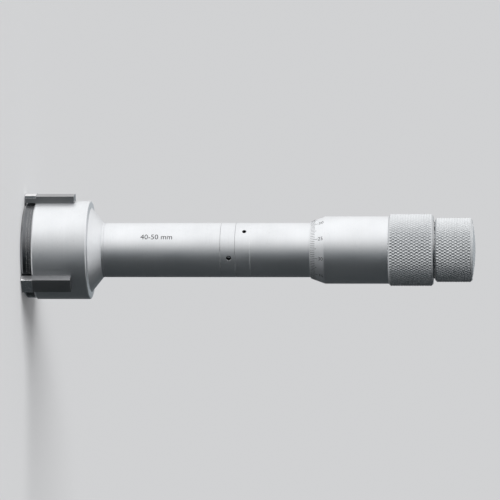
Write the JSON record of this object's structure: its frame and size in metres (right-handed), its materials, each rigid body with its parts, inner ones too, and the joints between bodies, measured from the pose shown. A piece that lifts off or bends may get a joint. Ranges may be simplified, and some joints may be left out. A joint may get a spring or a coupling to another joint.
{
  "type": "three-point internal micrometer",
  "caption": "Three-point bore micrometer for holes 40 to 50 mm, with a cone-driven measuring head, graduated thimble and friction ratchet.",
  "frame": {"origin": "centre of the nose's flat front face, on the instrument's axis", "axes": "+Z along the axis from the nose to the ratchet, +Y through the first anvil and the datum line of the scale"},
  "size_m": [0.0408, 0.041, 0.1737],
  "materials": {
    "satin_chrome": "satin chrome plate on steel",
    "knurled_chrome": "satin chrome plate on a fine cross knurl",
    "dark_steel": "blackened steel, turned",
    "black_screw": "blackened screws",
    "anvil_steel": "hardened and ground",
    "carbide": "lapped hard metal",
    "ground_steel": "ground",
    "bush_bronze": "bronze bush",
    "spring_steel": "spring wire"
  },
  "bodies": {
    "frame": {"head_body": "satin_chrome", "front_cover": "dark_steel", "cover_screw_1": "black_screw", "cover_screw_2": "black_screw", "cover_screw_3": "black_screw", "anvil_springs_1": "spring_steel", "anvil_springs_2": "spring_steel", "anvil_springs_3": "spring_steel", "rod_guide_bush": "bush_bronze", "rod_return_spring": "spring_steel", "head_tube": "satin_chrome", "joint_collar": "satin_chrome", "inner_sleeve": "ground_steel", "adjusting_nut": "ground_steel"},
    "cone_rod": {"measuring_cone": "ground_steel", "push_rod": "ground_steel", "spring_seat": "ground_steel", "contact_ball": "ground_steel"},
    "thimble": {"thimble": "satin_chrome", "grip_ring": "knurled_chrome", "spindle": "ground_steel", "ratchet_base": "ground_steel", "ratchet_screw": "ground_steel"},
    "ratchet": {"ratchet_knob": "knurled_chrome", "ratchet_disc": "ground_steel", "ratchet_spring": "spring_steel", "end_cap": "satin_chrome"},
    "barrel": {"graduated_barrel": "satin_chrome"},
    "anvil_1": {"anvil_1": "anvil_steel", "carbide_tip_1": "carbide"},
    "anvil_2": {"anvil_2": "anvil_steel", "carbide_tip_2": "carbide"},
    "anvil_3": {"anvil_3": "anvil_steel", "carbide_tip_3": "carbide"}
  },
  "joints": [
    {"name": "cone_feed", "type": "slide", "parent": "frame", "child": "cone_rod", "axis": [0, 0, 1], "range_m": [-0.006, 0.004], "deforming": ["rod_return_spring"]},
    {"name": "thimble_turn", "type": "hinge", "parent": "cone_rod", "child": "thimble", "pos_m": [0, 0, 0.11], "axis": [0, 0, 1], "range_deg": [-4320, 2880]},
    {"name": "ratchet_slip", "type": "hinge", "parent": "thimble", "child": "ratchet", "pos_m": [0, 0, 0.165], "axis": [0, 0, 1], "continuous": true},
    {"name": "barrel_zero_turn", "type": "hinge", "parent": "frame", "child": "barrel", "pos_m": [0, 0, 0.1], "axis": [0, 0, 1], "range_deg": [-15, 15]},
    {"name": "anvil_1_slide", "type": "slide", "parent": "frame", "child": "anvil_1", "axis": [0, 1, 0], "range_m": [-0.002, 0.003], "deforming": ["anvil_springs_1"]},
    {"name": "anvil_2_slide", "type": "slide", "parent": "frame", "child": "anvil_2", "axis": [-0.866, -0.5, 0], "range_m": [-0.002, 0.003], "deforming": ["anvil_springs_2"]},
    {"name": "anvil_3_slide", "type": "slide", "parent": "frame", "child": "anvil_3", "axis": [0.866, -0.5, 0], "range_m": [-0.002, 0.003], "deforming": ["anvil_springs_3"]}
  ],
  "couplings": [
    {"joint": "thimble_turn", "follows": "cone_feed", "rad_per_m": 12566},
    {"joint": "anvil_1_slide", "follows": "cone_feed", "ratio": -0.5},
    {"joint": "anvil_2_slide", "follows": "cone_feed", "ratio": -0.5},
    {"joint": "anvil_3_slide", "follows": "cone_feed", "ratio": -0.5}
  ]
}
